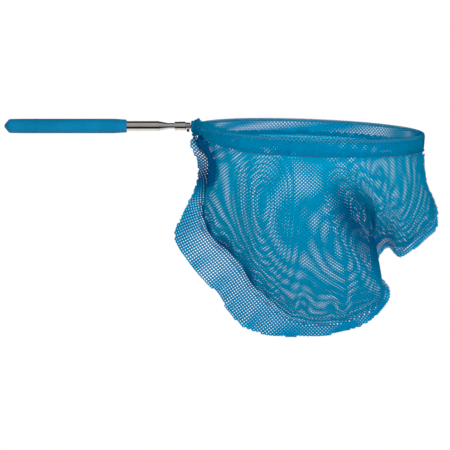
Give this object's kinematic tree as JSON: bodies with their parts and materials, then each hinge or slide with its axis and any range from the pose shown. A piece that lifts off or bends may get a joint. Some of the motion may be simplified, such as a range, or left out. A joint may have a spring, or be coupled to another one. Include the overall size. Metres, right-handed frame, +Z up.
{
  "type": "telescopic net",
  "caption": "Telescopic catching net: a sliding steel pole with a foam grip, a round wire hoop clamped in its tip, and a mesh bag hung from the hoop by a folded hem.",
  "frame": {"origin": "middle of the grip, on the pole's axis, where a hand holds the net", "axes": "+X along the pole towards the hoop, +Z up out of the open bag, -Y the side with the front panel"},
  "size_m": [0.3909, 0.2068, 0.1983],
  "materials": {
    "foam": "matt closed-cell foam with a fine pebbled skin",
    "plug": "matt black",
    "tube": "polished, with fine draw lines along the tube",
    "spring": "plain",
    "ferrule": "polished",
    "socket": "polished",
    "screw": "blackened",
    "wire": "plain spring steel",
    "mesh": "soft knitted mesh with staggered round holes",
    "thread": "twisted thread"
  },
  "bodies": {
    "handle": {"grip": "foam", "base_plug": "plug", "pole_tube_1": "tube"},
    "spring_2": {"friction_spring_2": "spring"},
    "tube_2": {"pole_tube_2": "tube"},
    "spring_3": {"friction_spring_3": "spring"},
    "tube_3": {"pole_tube_3": "tube"},
    "spring_4": {"friction_spring_4": "spring"},
    "tube_4": {"pole_tube_4": "tube"},
    "spring_5": {"friction_spring_5": "spring"},
    "head": {"pole_tube_5": "tube", "ferrule": "ferrule", "hoop_socket": "socket", "clamp_screw": "screw", "hoop_wire": "wire", "hem_sleeve": "mesh", "hem_thread": "thread", "front_panel": "mesh", "back_panel": "mesh", "seam_thread": "thread", "neck_gather": "mesh"}
  },
  "joints": [
    {"name": "draw_2", "type": "slide", "parent": "handle", "child": "spring_2", "axis": [1, 0, 0], "range_m": [0, 0.1175]},
    {"name": "twist_2", "type": "hinge", "parent": "spring_2", "child": "tube_2", "pos_m": [0, 0, 0], "axis": [1, 0, 0], "continuous": true},
    {"name": "draw_3", "type": "slide", "parent": "tube_2", "child": "spring_3", "axis": [1, 0, 0], "range_m": [0, 0.1107]},
    {"name": "twist_3", "type": "hinge", "parent": "spring_3", "child": "tube_3", "pos_m": [0, 0, 0], "axis": [1, 0, 0], "continuous": true},
    {"name": "draw_4", "type": "slide", "parent": "tube_3", "child": "spring_4", "axis": [1, 0, 0], "range_m": [0, 0.1039]},
    {"name": "twist_4", "type": "hinge", "parent": "spring_4", "child": "tube_4", "pos_m": [0, 0, 0], "axis": [1, 0, 0], "continuous": true},
    {"name": "draw_5", "type": "slide", "parent": "tube_4", "child": "spring_5", "axis": [1, 0, 0], "range_m": [0, 0.0971]},
    {"name": "twist_5", "type": "hinge", "parent": "spring_5", "child": "head", "pos_m": [0, 0, 0], "axis": [1, 0, 0], "continuous": true}
  ]
}
